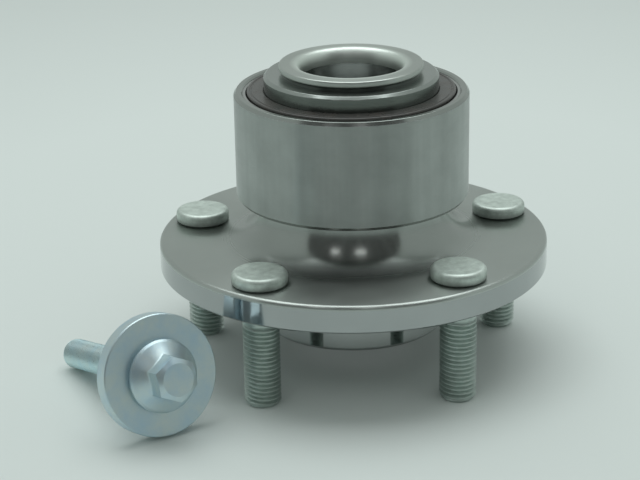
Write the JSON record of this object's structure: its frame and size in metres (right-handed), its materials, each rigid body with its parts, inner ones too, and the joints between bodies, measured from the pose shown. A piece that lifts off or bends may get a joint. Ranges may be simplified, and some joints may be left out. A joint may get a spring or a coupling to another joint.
{
  "type": "wheel hub bearing",
  "caption": "Wheel hub bearing unit: splined flange hub with pressed-in wheel studs, a sealed ball bearing with a speed sensor ring, and a hub bolt with captive washer.",
  "frame": {"origin": "centre of the wheel stud circle, on the flange's wheel face", "axes": "+Z along the hub axis from the wheel side to the drive shaft side, up as the unit stands on its studs; the loose bolt lies towards -X and -Y"},
  "size_m": [0.1646, 0.1447, 0.1017],
  "materials": {
    "turned_steel": "fine-turned and polished",
    "ground_steel": "satin, ground",
    "bearing_steel": "ground and polished",
    "sheet_steel": "satin",
    "zinc_flake": "matt zinc",
    "bright_zinc": "bright zinc plating",
    "encoder_rubber": "smooth, dark brown",
    "seal_rubber": "matt",
    "cage_polymer": "matt"
  },
  "bodies": {
    "hub": {"hub_flange": "turned_steel", "wheel_stud_1": "zinc_flake", "wheel_stud_2": "zinc_flake", "wheel_stud_3": "zinc_flake", "wheel_stud_4": "zinc_flake", "wheel_stud_5": "zinc_flake", "inboard_inner_ring": "bearing_steel", "outboard_inner_ring": "bearing_steel", "inboard_slinger": "sheet_steel", "outboard_slinger": "sheet_steel", "encoder_ring": "encoder_rubber"},
    "bearing_outer": {"outer_ring": "ground_steel", "inboard_seal_case": "sheet_steel", "outboard_seal_case": "sheet_steel", "inboard_seal_lips": "seal_rubber", "outboard_seal_lips": "seal_rubber"},
    "inboard_ball_set": {"inboard_cage": "cage_polymer", "inboard_balls": "bearing_steel"},
    "outboard_ball_set": {"outboard_cage": "cage_polymer", "outboard_balls": "bearing_steel"},
    "loose_bolt": {"hub_bolt": "bright_zinc"},
    "loose_washer": {"hub_bolt_washer": "bright_zinc"}
  },
  "joints": [
    {"name": "outer_ring_spin", "type": "hinge", "parent": "hub", "child": "bearing_outer", "pos_m": [0, 0, 0.04211], "axis": [0, 0, 1], "continuous": true},
    {"name": "inboard_cage_spin", "type": "hinge", "parent": "hub", "child": "inboard_ball_set", "pos_m": [0, 0, 0.04961], "axis": [0, 0, 1], "continuous": true},
    {"name": "outboard_cage_spin", "type": "hinge", "parent": "hub", "child": "outboard_ball_set", "pos_m": [0, 0, 0.0346], "axis": [0, 0, 1], "continuous": true},
    {"name": "bolt_lift", "type": "slide", "parent": "hub", "child": "loose_bolt", "axis": [0, 0, 1], "range_m": [0, 0.15]},
    {"name": "washer_spin", "type": "hinge", "parent": "loose_bolt", "child": "loose_washer", "pos_m": [-0.06444, -0.0617, -0.01367], "axis": [0.5159, -0.8225, 0.2394], "continuous": true}
  ],
  "couplings": [
    {"joint": "inboard_cage_spin", "follows": "outer_ring_spin", "ratio": 0.5714},
    {"joint": "outboard_cage_spin", "follows": "outer_ring_spin", "ratio": 0.5714}
  ]
}
